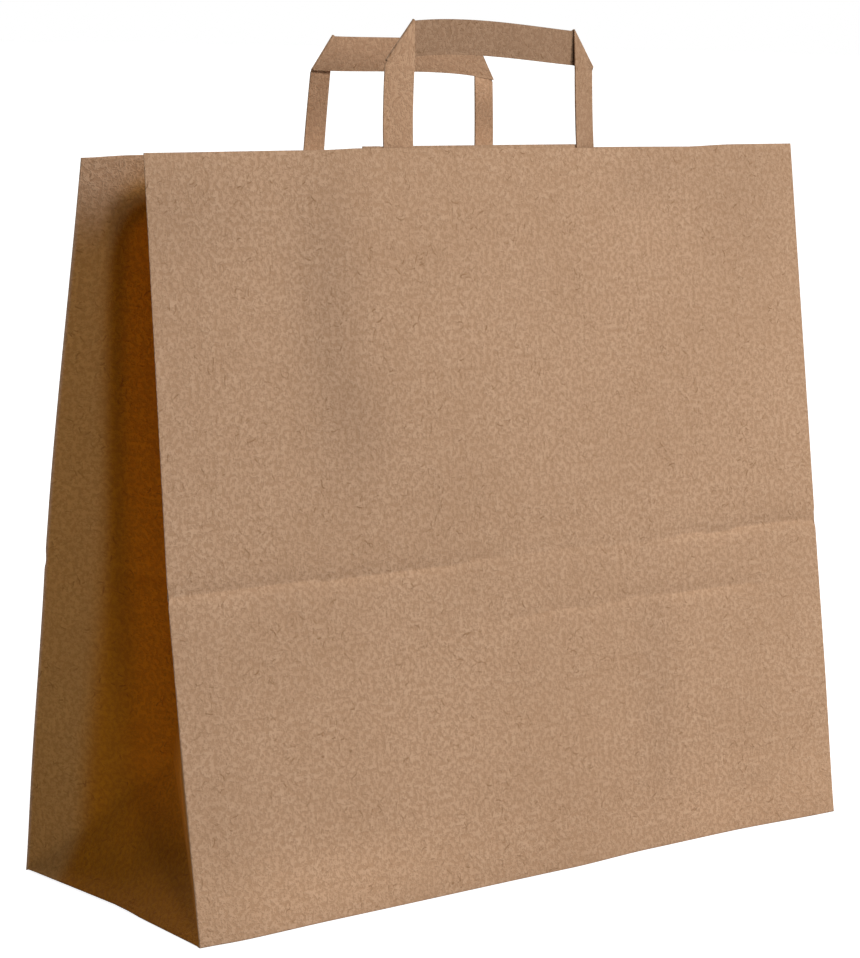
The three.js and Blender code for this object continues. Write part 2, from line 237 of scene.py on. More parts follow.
fold_lines = {-1: fold_line(-HALF_WIDTH), 1: fold_line(HALF_WIDTH)}


def on_fold(side, height):
    points = fold_lines[side]
    j = 1
    while j < len(FOLD_HEIGHTS) - 1 and height > FOLD_HEIGHTS[j]:
        j += 1
    k = (height - FOLD_HEIGHTS[j - 1]) / (FOLD_HEIGHTS[j] - FOLD_HEIGHTS[j - 1])
    return points[j - 1].lerp(points[j], k)


def gusset_point(side, from_edge, height, wall):
    """from_edge is measured from the front or rear edge that wall gives."""
    x = side * HALF_WIDTH
    across = from_edge / HALF_GUSSET
    if height >= HALF_GUSSET:
        return wall(x, height).lerp(on_fold(side, height), across)
    foot = wall(x, 0.0)
    up = height / HALF_GUSSET
    tip = on_fold(side, HALF_GUSSET)
    middle = on_fold(side, 0.0)
    edge = wall(x, HALF_GUSSET)
    if from_edge <= height:
        return foot + (tip - edge) * across + (edge - foot) * up
    return foot + (middle - foot) * across + (tip - middle) * up


print("gusset fold at the rim:", [round(v, 4) for v in on_fold(-1, SHEET_HEIGHT)])

# %% [markdown]
# The base is closed like a parcel. The ends are tucked in first. That turns the corners of the
# long flaps under at 45 degrees, and the front flap and then the rear flap are glued over them.
# Every layer lies a sheet's thickness above the one below it, and where the rear flap ends, the
# layers above it come down onto the floor.

# %% Where the base flaps go
LAP_LAYER = 0
REAR_FLAP_LAYER = 1
REAR_DOUBLED_LAYER = 2
FRONT_FLAP_LAYER = 3
FRONT_DOUBLED_LAYER = 4
TUCK_LAYER = 5
REAR_FLAP_END = HALF_GUSSET - FLAP
STEP_DOWN = 0.015


def lying(x, y, layer):
    """A point of a base layer."""
    if layer >= FRONT_FLAP_LAYER:
        past_rear_flap = 1 - ease(REAR_FLAP_END - STEP_DOWN, REAR_FLAP_END, y)
        layer -= (FRONT_FLAP_LAYER - REAR_FLAP_LAYER) * past_rear_flap
    return Vector((x, y, layer * LAYER))


def flap_point(x, side, depth):
    """A point of a long flap: side is -1 on the front wall and 1 on the rear wall."""
    flap_layer = FRONT_FLAP_LAYER if side < 0 else REAR_FLAP_LAYER
    doubled_layer = FRONT_DOUBLED_LAYER if side < 0 else REAR_DOUBLED_LAYER
    from_corner = HALF_WIDTH - abs(x)
    past = depth - from_corner
    if past < -1e-7:
        return lying(x, side * (HALF_GUSSET - depth), flap_layer)
    edge = math.copysign(HALF_WIDTH - depth, x)
    if past < 1e-7:
        layer = (flap_layer + doubled_layer) / 2
    elif from_corner < 1e-7:
        layer = (doubled_layer + TUCK_LAYER) / 2
    else:
        layer = doubled_layer
    return lying(edge, side * (HALF_GUSSET - from_corner), layer)


def tuck_point(side, from_rear, depth):
    y = HALF_GUSSET - from_rear
    inset = FOOT_INSET * (1 - abs(y) / HALF_GUSSET)
    return lying(side * (HALF_WIDTH - inset - depth), y, TUCK_LAYER)


def foot_lift(u):
    """How far the layers of the base lift the lower edge of the walls and gussets."""
    front = lying(0, -HALF_GUSSET, FRONT_FLAP_LAYER).z
    rear = lying(0, HALF_GUSSET, REAR_FLAP_LAYER).z
    if u > LAP_AT:
        return lying(0, HALF_GUSSET, LAP_LAYER).z
    if u < LEFT_GUSSET_AT:
        return rear
    if FRONT_AT <= u <= RIGHT_GUSSET_AT:
        return front
    from_rear = u - LEFT_GUSSET_AT if u < FRONT_AT else LAP_AT - u
    tuck = lying(0, HALF_GUSSET - from_rear, TUCK_LAYER).z
    near_rear = 1 - ease(0, 0.004, from_rear)
    near_front = ease(GUSSET - 0.004, GUSSET, from_rear)
    return mix(mix(tuck, rear, near_rear), front, near_front)


# %% [markdown]
# One function now says where any point of the flat sheet goes. u runs round the bag and v up it,
# with v below zero on the base flaps. Real paper can't fold to a sharp line, so a point close to
# an upright fold is the average of its neighbours, which rounds the fold a little.

# %% Fold the sheet
FOLD_SOFTNESS = 0.0009


def standing(u, v):
    if u <= LEFT_GUSSET_AT:
        x = HALF_WIDTH - u
        return rear_point(x, v) if v >= 0 else flap_point(x, 1, -v)
    if u <= FRONT_AT:
        from_rear = u - LEFT_GUSSET_AT
        if v < 0:
            return tuck_point(-1, from_rear, -v)
        if from_rear <= HALF_GUSSET:
            return gusset_point(-1, from_rear, v, rear_point)
        return gusset_point(-1, GUSSET - from_rear, v, front_point)
    if u <= RIGHT_GUSSET_AT:
        x = u - FRONT_AT - HALF_WIDTH
        return front_point(x, v) if v >= 0 else flap_point(x, -1, -v)
    if u <= LAP_AT:
        from_front = u - RIGHT_GUSSET_AT
        if v < 0:
            return tuck_point(1, GUSSET - from_front, -v)
        if from_front <= HALF_GUSSET:
            return gusset_point(1, from_front, v, front_point)
        return gusset_point(1, GUSSET - from_front, v, rear_point)
    x = HALF_WIDTH - (u - LAP_AT)
    over = Vector((0, LAYER * ease(0, 0.001, u - LAP_AT), 0))
    if v >= 0:
        return rear_point(x, v) + over
    return flap_point(x, 1, -v) - Vector((0, 0, (REAR_FLAP_LAYER - LAP_LAYER) * LAYER))


# How far the lower edge of the front wall stands outward along it, how far the rear left edge
# stands out at each height, how far the front right edge stands out, and how far the two rims
# rise along their walls. A shift dies out over its reach.
FRONT_FOOT_BOW = ((0.0, 0.0015), (0.03, 0.0033), (0.09, 0.0018), (0.27, 0.0003),
                  (0.34, -0.0034), (0.41, -0.0042), (0.5, -0.0003))
REAR_LEFT_BULGE = ((0.0, 0.0002), (0.075, 0.001), (0.16, 0.0006), (0.255, 0.0018),
                   (SHEET_HEIGHT, 0.0003))
FRONT_RIGHT_BULGE = 0.0007
FRONT_RIM_RISE = ((0.0, 0.0), (0.12, 0.0003), (0.15, 0.001), (0.30, 0.0), (0.335, -0.0008),
                  (0.40, -0.0006), (0.45, 0.0006), (0.5, 0.0006))
REAR_RIM_RISE = ((0.0, 0.0), (0.035, 0.001), (0.15, 0.0012), (0.3, 0.0), (0.5, 0.0))
FOOT_BOW_REACH = 0.12
EDGE_REACH = 0.04
RIM_RISE_START = 0.36


def profile_at(profile, value):
    """The value of an eased line through the points of a profile."""
    for (start, first), (end, last) in zip(profile, profile[1:]):
        if value <= end:
            return mix(first, last, ease(start, end, value))
    return profile[-1][1]


def settled(place, u, v):
    """The small shifts of a bag that was opened and stood up by hand."""
    from_left = place.x + HALF_WIDTH
    share = max(0.0, -place.y / HALF_GUSSET) * (1 - ease(0, FOOT_BOW_REACH, v))
    place.y -= profile_at(FRONT_FOOT_BOW, from_left) * share
    near_left = hump(u, LEFT_GUSSET_AT, EDGE_REACH)
    place.x -= profile_at(REAR_LEFT_BULGE, max(0.0, v)) * near_left
    near_right = hump(u, RIGHT_GUSSET_AT, EDGE_REACH)
    place.x += FRONT_RIGHT_BULGE * near_right * ease(0.01, 0.10, v)
    near_rim = ease(RIM_RISE_START, SHEET_HEIGHT, v)
    if FRONT_AT < u < RIGHT_GUSSET_AT:
        place.z += profile_at(FRONT_RIM_RISE, from_left) * near_rim
    elif not LEFT_GUSSET_AT < u < LAP_AT:
        place.z += profile_at(REAR_RIM_RISE, from_left) * near_rim
    return place


def folded(u, v):
    if v < 0:
        return settled(standing(u, v), u, v)
    before = standing(max(0.0, u - FOLD_SOFTNESS), v)
    after = standing(min(SHEET_END, u + FOLD_SOFTNESS), v)
    place = (before + standing(u, v) * 2 + after) / 4
    place.z += foot_lift(u) * (1 - ease(0, 0.02, v))
    return settled(place, u, v)


# %% [markdown]
# The grid needs its lines where the sheet folds. Close to a fold the lines stand closer, and the
# 45 degree folds of the base run through grid points, because the rows there use the same
# distances as the columns beside the corner. Round the creases the rows stand close as well.

# %% Lines of the grid
NEAR = (0.0, 0.0006, 0.0014, 0.003)
STEP = 0.006
CREASE_STEP = 0.0015
BELOW_CREASES = CREASE_HEIGHT - 0.045
ABOVE_CREASES = CREASE_HEIGHT + 0.015


def ladder(length, near_end=True, step=STEP):
    """Distances from 0 to length, closer together beside a fold."""
    inner = length - (NEAR[-1] if near_end else 0.0)
    steps = max(1, round((inner - NEAR[-1]) / step))
    rungs = list(NEAR)
    rungs += [mix(NEAR[-1], inner, k / steps) for k in range(1, steps + 1)]
    if near_end:
        rungs += [length - d for d in reversed(NEAR[:-1])]
    return rungs


flap_rungs = ladder(FLAP, near_end=False)
triangle_rungs = ladder(HALF_GUSSET)


def wall_columns():
    steps = round((BAG_WIDTH - 2 * FLAP) / STEP)
    between = [mix(FLAP, BAG_WIDTH - FLAP, k / steps) for k in range(1, steps)]
    return flap_rungs + between + [BAG_WIDTH - d for d in reversed(flap_rungs)]


def gusset_columns():
    return triangle_rungs + [GUSSET - d for d in reversed(triangle_rungs[:-1])]


def sheet_columns():
    columns = []
    starts = ((0.0, wall_columns()), (LEFT_GUSSET_AT, gusset_columns()),
              (FRONT_AT, wall_columns()), (RIGHT_GUSSET_AT, gusset_columns()))
    for start, rungs in starts:
        columns += [start + d for d in rungs[:-1]]
    lap = [LAP_AT + d for d in flap_rungs if d < SEAM_LAP - NEAR[3]]
    return columns + lap + [SHEET_END - NEAR[1], SHEET_END]


def sheet_rows():
    rows = [-d for d in reversed(flap_rungs[1:])]
    rows += triangle_rungs[:-1]
    bands = ((HALF_GUSSET, BELOW_CREASES, STEP), (BELOW_CREASES, ABOVE_CREASES, CREASE_STEP),
             (ABOVE_CREASES, SHEET_HEIGHT, STEP))
    for start, end, step in bands:
        rows += [start + d for d in ladder(end - start, step=step)[:-1]]
    return rows + [SHEET_HEIGHT]


columns = sheet_columns()
rows = sheet_rows()
print("grid of", len(columns), "columns and", len(rows), "rows")

# %% [markdown]
# Opened bags are never flat. A pressed crease runs round the bag at the height where it was
# folded for packing, with a fainter one below it, and the walls have wide shallow waves left by
# handling. They are pushed in along the surface normal after folding. Each crease is a valley,
# longer on its upper side, and is stronger in some places than in others. Away from the front
# wall it has half its depth.

# %% Creases and waves
CREASE_DEPTH = 0.0015
CREASE_ABOVE = 0.008
CREASE_BELOW = 0.005
SECOND_CREASE = 0.1555
SIDE_SHARE = 0.5
WAVE_DEPTH = 0.0012
HOLLOW_DEPTH = 0.0014

# How strong each crease is along the front wall, by the distance from its left edge
CREASE_STRENGTH = ((0.0, 1.0), (0.17, 1.0), (0.24, 0.3), (0.36, 0.3), (0.41, 1.1), (0.5, 0.9))
SECOND_STRENGTH = ((0.2, 0.0), (0.26, 0.45), (0.35, 0.4), (0.385, 0.9), (0.42, 0.8),
                   (0.46, 0.15), (0.5, 0.0))


def valley(above):
    """0 beside a crease and 1 on it."""
    reach = CREASE_ABOVE if above > 0 else CREASE_BELOW
    return max(0.0, 1 - math.hypot(above, 0.0007) / reach) ** 1.3


def wander(x):
    """How far a crease strays from its level line."""
    return 0.0009 * math.sin(31 * x) + 0.0006 * math.sin(83 * x + 1)


def dent(u, v):
    """How far a point moves outward."""
    if v <= 0:
        return 0.0
    if not FRONT_AT < u < RIGHT_GUSSET_AT:
        return -CREASE_DEPTH * SIDE_SHARE * valley(v - CREASE_HEIGHT)
    x = u - FRONT_AT
    uneven = 1 + 0.3 * math.sin(140 * x + 2) * math.sin(61 * x)
    first = profile_at(CREASE_STRENGTH, x) * valley(v - CREASE_HEIGHT - wander(x))
    second = profile_at(SECOND_STRENGTH, x) * valley(v - SECOND_CREASE + wander(x))
    push = -CREASE_DEPTH * uneven * max(first, second)
    a = x / BAG_WIDTH
    inside = ease(0, 0.08, a) * ease(0, 0.08, 1 - a) * ease(0, 0.03, v)
    inside *= 1 - ease(SHEET_HEIGHT - 0.09, SHEET_HEIGHT - 0.05, v)
    waves = WAVE_DEPTH * math.sin(7.3 * a + 9.0 * v + 0.6) * math.sin(11.0 * v + 2.1 * a)
    waves -= HOLLOW_DEPTH * hump(a, 0.30, 0.07) * hump(v, 0.32, 0.09)
    return push + inside * waves


# %% [markdown]
# Light and shade are painted into the paper as well. The front wall has soft darker patches painted
# as the shade of its waves, and lighter patches painted near its foot, where more light falls. Each
# crease is painted darker above and lighter below, as light falls on a valley. The inside of the
# left side fold is painted darker and warmer as its shade, in three steps from its rear edge
# inward.
# The tones are written to the points of the sheet as numbers that the material reads.

# %% Painted light and shade
# Patches of painted shade and painted light on the front wall: distance from its left edge,
# height, half sizes, and how much lighter.
SHADING_PATCHES = (
    (0.120, 0.345, 0.026, 0.080, -0.15),
    (0.140, 0.275, 0.024, 0.036, -0.08),
    (0.190, 0.233, 0.032, 0.018, -0.02),
    (0.354, 0.100, 0.016, 0.075, -0.08),
    (0.425, 0.031, 0.028, 0.008, -0.09),
    (0.375, 0.415, 0.030, 0.016, -0.08),
    (0.020, 0.400, 0.060, 0.030, -0.09),
    (0.460, 0.410, 0.060, 0.060, -0.09),
    (0.250, 0.080, 0.300, 0.080, 0.07),
    (0.080, 0.018, 0.120, 0.026, 0.20),
    (0.440, 0.020, 0.090, 0.030, 0.15),
)


# Painted shade above a crease and painted light below it: how much lighter the paper is on each
# side, and over what distance.
PAINTED_SHADE_ABOVE, SHADE_REACH = -0.08, 0.007
PAINTED_LIGHT_BELOW, LIGHT_REACH = 0.12, 0.006

# How far from the rear edge the outer and the middle step of the painted fold shade end, at the
# foot and near the rim, and where the painted shade dies out below the rim.
OUTER_SHADE_STEP = (0.034, 0.024)
MIDDLE_SHADE_STEP = (0.062, 0.024)
FOLD_SHADE_END = 0.43


# Painted shade above a crease and painted light below it, as light falls on its valley.
def painted_crease_shading(above):
    if above > 0:
        return PAINTED_SHADE_ABOVE * math.exp(-above / SHADE_REACH)
    return PAINTED_LIGHT_BELOW * math.exp(above / LIGHT_REACH)


def painted_shading_at(u, v):
    """How much lighter the paper is painted, below zero where painted shade makes it darker."""
    if not FRONT_AT < u < RIGHT_GUSSET_AT:
        return 0.0
    x = u - FRONT_AT
    tone = sum(amount * hump(x, across, width) * hump(v, up, height)
               for across, up, width, height, amount in SHADING_PATCHES)
    tone += profile_at(CREASE_STRENGTH, x) * painted_crease_shading(v - CREASE_HEIGHT - wander(x))
    return tone + profile_at(SECOND_STRENGTH, x) * painted_crease_shading(v - SECOND_CREASE + wander(x))


def fold_tone(u, v):
    """Painted shade: 3 deep in the left side fold, 2 and 1 nearer its rear edge, and 0 outside it.
    """
    if v < 0 or not LEFT_GUSSET_AT < u < FRONT_AT:
        return 0.0
    from_rear = u - LEFT_GUSSET_AT
    outer = mix(*OUTER_SHADE_STEP, ease(0.2, 0.4, v))
    middle = mix(*MIDDLE_SHADE_STEP, ease(0, 0.4, v))
    tone = 1 + ease(outer - 0.012, outer + 0.014, from_rear)
    deep = ease(middle - 0.012, middle + 0.02, from_rear) * ease(0.01, 0.10, v)
    tone += deep * (1 - ease(GUSSET - 0.03, GUSSET - 0.01, from_rear))
    inside = ease(0, 0.003, min(from_rear, GUSSET - from_rear))
    fades_from = 0.345 + 0.015 * tone
    return inside * tone * (1 - 0.9 * ease(fades_from, FOLD_SHADE_END, v))


# %% [markdown]
# Now the sheet is made: a flat grid, its lines moved to the columns and rows above, split along
# the 45 degree folds, mapped with its own flat coordinates, folded, and pressed. Solidify gives it
# the thickness of paper at the end, and its inner side has the second material.

# %% Model the bag body


def new_object(name, bm):
    mesh = bpy.data.meshes.new(name)
    bm.to_mesh(mesh)
    bm.free()
    piece = bpy.data.objects.new(name, mesh)
    bpy.context.scene.collection.objects.link(piece)
    return piece


def keep_flat_places(bm, uv):
    """Maps each face by where its points lie while the paper is flat."""
    for face in bm.faces:
        for loop in face.loops:
            loop[uv].uv = loop.vert.co.xy


def smooth_object(name, bm):
    for face in bm.faces:
        face.smooth = True
    return new_object(name, bm)


def give_thickness(piece):
    wall = piece.modifiers.new("thickness", "SOLIDIFY")
    wall.thickness = PAPER
    wall.offset = 0.0
    return wall


def flat_grid(bm, across, up):
    """A flat grid whose lines lie at the given distances, with its points by column and row."""
    nx, ny = len(across) - 1, len(up) - 1
    bmesh.ops.create_grid(bm, x_segments=nx, y_segments=ny, size=1.0)
    grid = {}
    for vert in bm.verts:
        i = round((vert.co.x + 1) / 2 * nx)
        j = round((vert.co.y + 1) / 2 * ny)
        vert.co = (across[i], up[j], 0)
        grid[i, j] = vert
    return grid


def split_diagonals(bm, grid, on_diagonal):
    """Cuts each cell that has a fold running through two opposite corners."""
    marked = {key for key, vert in grid.items() if on_diagonal(vert.co.x, vert.co.y)}
    for i, j in sorted(marked):
        for di in (-1, 1):
            other = (i + di, j + 1)
            if other in marked:
                bmesh.ops.connect_vert_pair(bm, verts=[grid[i, j], grid[other]])


def is_diagonal_fold(u, v):
    close = 1e-6
    if v < 0:
        for start in (0.0, FRONT_AT):
            for from_corner in (u - start, start + BAG_WIDTH - u):
                if abs(from_corner + v) < close:
                    return True
        return abs(u - LAP_AT + v) < close
    if v > HALF_GUSSET + close:
        return False
    for start in (LEFT_GUSSET_AT, RIGHT_GUSSET_AT):
        for from_edge in (u - start, start + GUSSET - u):
            if abs(from_edge - v) < close:
                return True
    return False


def paper_bag():
    bm = bmesh.new()
    uv = bm.loops.layers.uv.new("sheet")
    painted_shading_layer = bm.verts.layers.float.new("painted_shading")
    fold = bm.verts.layers.float.new("fold")
    grid = flat_grid(bm, columns, rows)
    split_diagonals(bm, grid, is_diagonal_fold)
    keep_flat_places(bm, uv)
    flat = {vert: (vert.co.x, vert.co.y) for vert in bm.verts}
    for vert, (u, v) in flat.items():
        vert.co = folded(u, v)
        vert.co.z += PAPER / 2
    bm.normal_update()
    pushes = {vert: vert.normal * dent(u, v) for vert, (u, v) in flat.items()}
    for vert, push in pushes.items():
        vert.co += push
        vert[painted_shading_layer] = painted_shading_at(*flat[vert])
        # The painted shade of the left side fold.
        vert[fold] = fold_tone(*flat[vert])
    piece = smooth_object("paper_bag", bm)
    give_thickness(piece).material_offset = 1
    return piece


bag = paper_bag()
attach(bag, "root")
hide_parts("bag_body")
print("bag body:", len(bag.data.vertices), "points")

# %% [markdown]
# Each handle is a flat strip folded from several layers of paper. Its two legs are glued to the
# inside of a wall, and the strap between them is the same strip turned over at each top corner.
# The bag was opened by hand, so each leg is turned a little and the strap bows. A pair is for the
# two legs. The tones are painted light and shade: they say how much lighter the first leg, the
# strap and the second leg are painted, and the rear legs are painted lighter where their turn
# shades them.

# %% Sizes of the handles
STRIP_WIDTH = 0.0205
STRIP_THICK = 0.0009
STRIP_LAP_INSET = 0.0035
STRIP_LAP_STEP = 0.00015
LEG_SPACING = 0.1475
LEG_GLUED = 0.038
FOLD_GAP = 0.0003
GLUE_GAP = 0.0003
TWIST_DEPTH = 0.024
LEG_LIFT = PAPER / 2 + GLUE_GAP + STRIP_THICK / 2

front_handle = {
    "facing": 1,
    "rise": (0.0504, 0.0487),
    "twist": (-5, 18.5),
    "lean": (-0.006, -0.003),
    "slope": (0.13, 0.05),
    "shift": 0.0015,
    "patch_shift": -0.0095,
    "patch_rise": (0.0022, 0.002),
    "tone": (0.12, -0.22, -0.06),
}
rear_handle = {
    "facing": -1,
    "rise": (0.0454, 0.052),
    "twist": (12, 10),
    "lean": (-0.0015, 0.0015),
    "slope": (0.12, -0.03),
    "shift": 0.0039,
    "patch_shift": 0.0,
    "patch_rise": (0.0004, 0.0004),
    "tone": (0.26, 0.02, 0.34),
}
print("leg stands off the wall by", round(LEG_LIFT * 1000, 2), "mm")

# %% [markdown]
# A strip is described by rungs, its cross lines: the middle, half the width as a vector, and the
# direction of the face with the glued lap. A rung of a leg is measured along the rim and up from
# it, in the plane of the wall that the leg is glued to.

# %% Cross lines of a leg
UP = Vector((0, 0, 1))


def wall_frame(facing, along, up):
    wall = front_point if facing > 0 else rear_point
    point = wall(facing * along, SHEET_HEIGHT + up)
    across = (wall(facing * (along + 0.001), SHEET_HEIGHT + up) - point).normalized()
    rising = (wall(facing * along, SHEET_HEIGHT + up + 0.001) - point).normalized()
    return point, across, rising, rising.cross(across).normalized()


def leg_twist(handle, leg, up):
    return math.radians(handle["twist"][leg]) * ease(-TWIST_DEPTH, 0, up)


def leg_place(handle, leg):
    return handle["shift"] + (-1 if leg == 0 else 1) * LEG_SPACING / 2


def leg_rung(handle, leg, up):
    place = leg_place(handle, leg)
    point, across, rising, inward = wall_frame(handle["facing"], place, up)
    twist = leg_twist(handle, leg, up)
    to_inside = across * math.cos(twist) + inward * math.sin(twist)
    to_inside *= 1 if leg == 0 else -1
    normal = inward * math.cos(twist) - across * math.sin(twist)
    stand_off = LEG_LIFT + abs(math.sin(twist)) * STRIP_WIDTH / 2
    leaning = handle["lean"][leg] * max(0.0, up / handle["rise"][leg]) ** 1.5
    middle = point + inward * (stand_off + leaning)
    return middle, to_inside * (STRIP_WIDTH / 2), normal, rising


# %% [markdown]
# At the top of a leg the strip turns over along a diagonal, so its outer edge becomes the lower
# edge of the strap. The strap then runs on a smooth curve to the other leg's fold.

# %% Cross lines of the folds and the strap
LEG_STEPS = 24
TURN_STEPS = 12
STRAP_STEPS = 60
BEFORE_FOLD = 0.002
AFTER_FOLD = 0.0015


def fold_rungs(handle, leg):
    steepness = math.tan(math.pi / 4 + math.atan(handle["slope"][leg]) / 2)
    up = handle["rise"][leg] + STRIP_WIDTH / 2 * steepness
    middle, half, normal, rising = leg_rung(handle, leg, up)
    diagonal = half + rising * (STRIP_WIDTH / 2 * steepness)
    away = (rising - half.normalized() * steepness).normalized()
    radius = (STRIP_THICK + FOLD_GAP) / 2
    rungs = []
    for k in range(TURN_STEPS + 1):
        turn = math.pi * k / TURN_STEPS
        place = middle + normal * (radius * (1 - math.cos(turn))) + away * (radius * math.sin(turn))
        rungs.append((place, diagonal, normal * math.cos(turn) - away * math.sin(turn)))
    return rungs


def leg_rungs(handle, leg):
    top = handle["rise"][leg] - BEFORE_FOLD
    stops = [mix(-LEG_GLUED, top, k / LEG_STEPS) for k in range(LEG_STEPS + 1)]
    rungs = [leg_rung(handle, leg, up)[:3] for up in stops]
    return rungs + fold_rungs(handle, leg)


def bezier(points, t):
    while len(points) > 1:
        points = [a.lerp(b, t) for a, b in zip(points, points[1:])]
    return points[0]


def strap_rungs(start, end, handle):
    heading = Vector((start[1].x, start[1].y, 0)).normalized()
    arriving = Vector((end[1].x, end[1].y, 0)).normalized()
    chord = (end[0] - start[0]).length
    third = chord / 3
    curve = [
        start[0],
        start[0] + heading * third + UP * (handle["slope"][0] * third),
        end[0] + arriving * third + UP * (handle["slope"][1] * third),
        end[0],
    ]
    clear = (STRIP_WIDTH / 2 + AFTER_FOLD) / chord
    rungs = []
    for k in range(STRAP_STEPS + 1):
        t = mix(clear, 1 - clear, k / STRAP_STEPS)
        tangent = (bezier(curve, t + 1e-4) - bezier(curve, t - 1e-4)).normalized()
        normal = tangent.cross(UP).normalized()
        rungs.append((bezier(curve, t), normal.cross(tangent) * (STRIP_WIDTH / 2), normal))
    return rungs


def handle_rungs(handle):
    """The cross lines from one end of the strip to the other, and how much lighter each is painted.
    """
    first = leg_rungs(handle, 0)
    second = leg_rungs(handle, 1)
    strap = strap_rungs(first[-1], second[-1], handle)
    half_turn = TURN_STEPS // 2
    counts = (len(first) - half_turn, len(strap) + 2 * half_turn, len(second) - half_turn)
    tones = [tone for tone, count in zip(handle["tone"], counts) for _ in range(count)]
    return first + strap + second[::-1], tones


print("cross lines of the front handle:", len(handle_rungs(front_handle)[0]))

# %% [markdown]
# The strip itself is made flat, as it is in the factory: a grid, extruded to its thickness, with
# its two long edges rounded because the outer layer of paper folds round them. One row of the
# grid lies on each cross line, so that moving the rows bends and folds the strip.

# %% Model a handle
EDGE_ROUNDING = 0.0003


def strip_columns():
    half = STRIP_WIDTH / 2
    lap = -half + STRIP_LAP_INSET
    middle = [mix(lap + 0.0004, half - 0.001, k / 6) for k in range(7)]
    return [-half, -half + 0.001, lap - 0.0006, lap] + middle + [half]


def flat_strip(bm, rungs):
    places = [0.0]
    for before, here in zip(rungs, rungs[1:]):
        places.append(places[-1] + max(0.0002, (here[0] - before[0]).length))
    flat_grid(bm, strip_columns(), places)
    lap = -STRIP_WIDTH / 2 + STRIP_LAP_INSET - 0.0001
    faces = bmesh.ops.extrude_face_region(bm, geom=bm.faces[:])["geom"]
    for vert in (item for item in faces if isinstance(item, bmesh.types.BMVert)):
        vert.co.z = STRIP_THICK / 2 - (STRIP_LAP_STEP if vert.co.x < lap else 0)
    for vert in bm.verts:
        if vert.co.z == 0:
            vert.co.z = -STRIP_THICK / 2
    side_edges = [
        edge for edge in bm.edges
        if all(abs(abs(vert.co.x) - STRIP_WIDTH / 2) < 1e-6 for vert in edge.verts)
        and abs(edge.verts[0].co.z - edge.verts[1].co.z) < 1e-6
    ]
    bmesh.ops.bevel(bm, geom=side_edges, offset=EDGE_ROUNDING, segments=2, profile=0.5,
                    affect="EDGES", material=-1)
    bmesh.ops.recalc_face_normals(bm, faces=bm.faces[:])
    return places


def bend_onto(bm, places, rungs, tones):
    painted_shading_layer = bm.verts.layers.float["painted_shading"]
    for vert in bm.verts:
        j = min(range(len(places)), key=lambda k: abs(places[k] - vert.co.y))
        middle, half, normal = rungs[j]
        across = vert.co.x / (STRIP_WIDTH / 2)
        vert.co = middle + half * across + normal * vert.co.z
        # The painted light and shade of the strip at this cross line.
        vert[painted_shading_layer] = tones[j]


def paper_handle(name, handle):
    bm = bmesh.new()
    uv = bm.loops.layers.uv.new("sheet")
    bm.verts.layers.float.new("painted_shading")
    rungs, tones = handle_rungs(handle)
    places = flat_strip(bm, rungs)
    keep_flat_places(bm, uv)
    bend_onto(bm, places, rungs, tones)
    return smooth_object(name, bm)


handles = {}
for side, handle in (("front", front_handle), ("rear", rear_handle)):
    piece = paper_handle(side + "_strip_handle", handle)
    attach(piece, "root")
    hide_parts(side + "_handle")
    handles[side] = piece
    print(piece.name, len(piece.data.polygons), "faces")

# %% [markdown]
# A patch of paper holds each pair of legs to the wall. It lies on the wall, rises over the legs,
# and its upper edge follows the rim. At the front it stands a little above the rim.

# %% Model the patches
PATCH_WIDTH = 0.180
PATCH_HEIGHT = 0.045
PATCH_SLOPE = 0.6
PATCH_COLUMNS = 91
PATCH_ROWS = 15


def patch_lift(handle, along, up):
    lift = PAPER + GLUE_GAP
    half = STRIP_WIDTH / 2
    for leg in (0, 1):
        side = along - leg_place(handle, leg)
        lean = math.sin(leg_twist(handle, leg, up))
        across = min(half, max(-half, side))
        back = LEG_LIFT + abs(lean) * half + across * lean
        past = max(0.0, abs(side) - half - GLUE_GAP)
        lift = max(lift, back + STRIP_THICK / 2 + GLUE_GAP + PAPER / 2 - PATCH_SLOPE * past)
    return lift


def paper_patch(name, handle):
    bm = bmesh.new()
    start = handle["patch_shift"] - PATCH_WIDTH / 2
    across = [start + PATCH_WIDTH * k / PATCH_COLUMNS for k in range(PATCH_COLUMNS + 1)]
    up = [-PATCH_HEIGHT * (1 - k / PATCH_ROWS) for k in range(PATCH_ROWS + 1)]
    flat_grid(bm, across, up)
    uv = bm.loops.layers.uv.new("sheet")
    keep_flat_places(bm, uv)
    for vert in bm.verts:
        along, height = vert.co.x, vert.co.y
        rise = mix(*handle["patch_rise"], (along - start) / PATCH_WIDTH)
        height += rise * (1 + height / PATCH_HEIGHT)
        point, _, _, inward = wall_frame(handle["facing"], along, height)
        vert.co = point + inward * patch_lift(handle, along, height)
    piece = smooth_object(name, bm)
    give_thickness(piece)
    return piece


patches = {}
for side, handle in (("front", front_handle), ("rear", rear_handle)):
    piece = paper_patch(side + "_paper_patch", handle)
    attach(piece, "root")
    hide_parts(side + "_handle_patch")
    patches[side] = piece
    print(piece.name, len(piece.data.polygons), "faces")

# %% [markdown]
# Kraft is brown because its pulp isn't bleached. Close to, it shows short curled fibres pressed
# into it, fine grain and soft clouds. All of that is made from the flat coordinates of the sheet,
# so that it runs on unbroken round every fold. A small helper keeps the node code short.

# %% Helpers for shader nodes


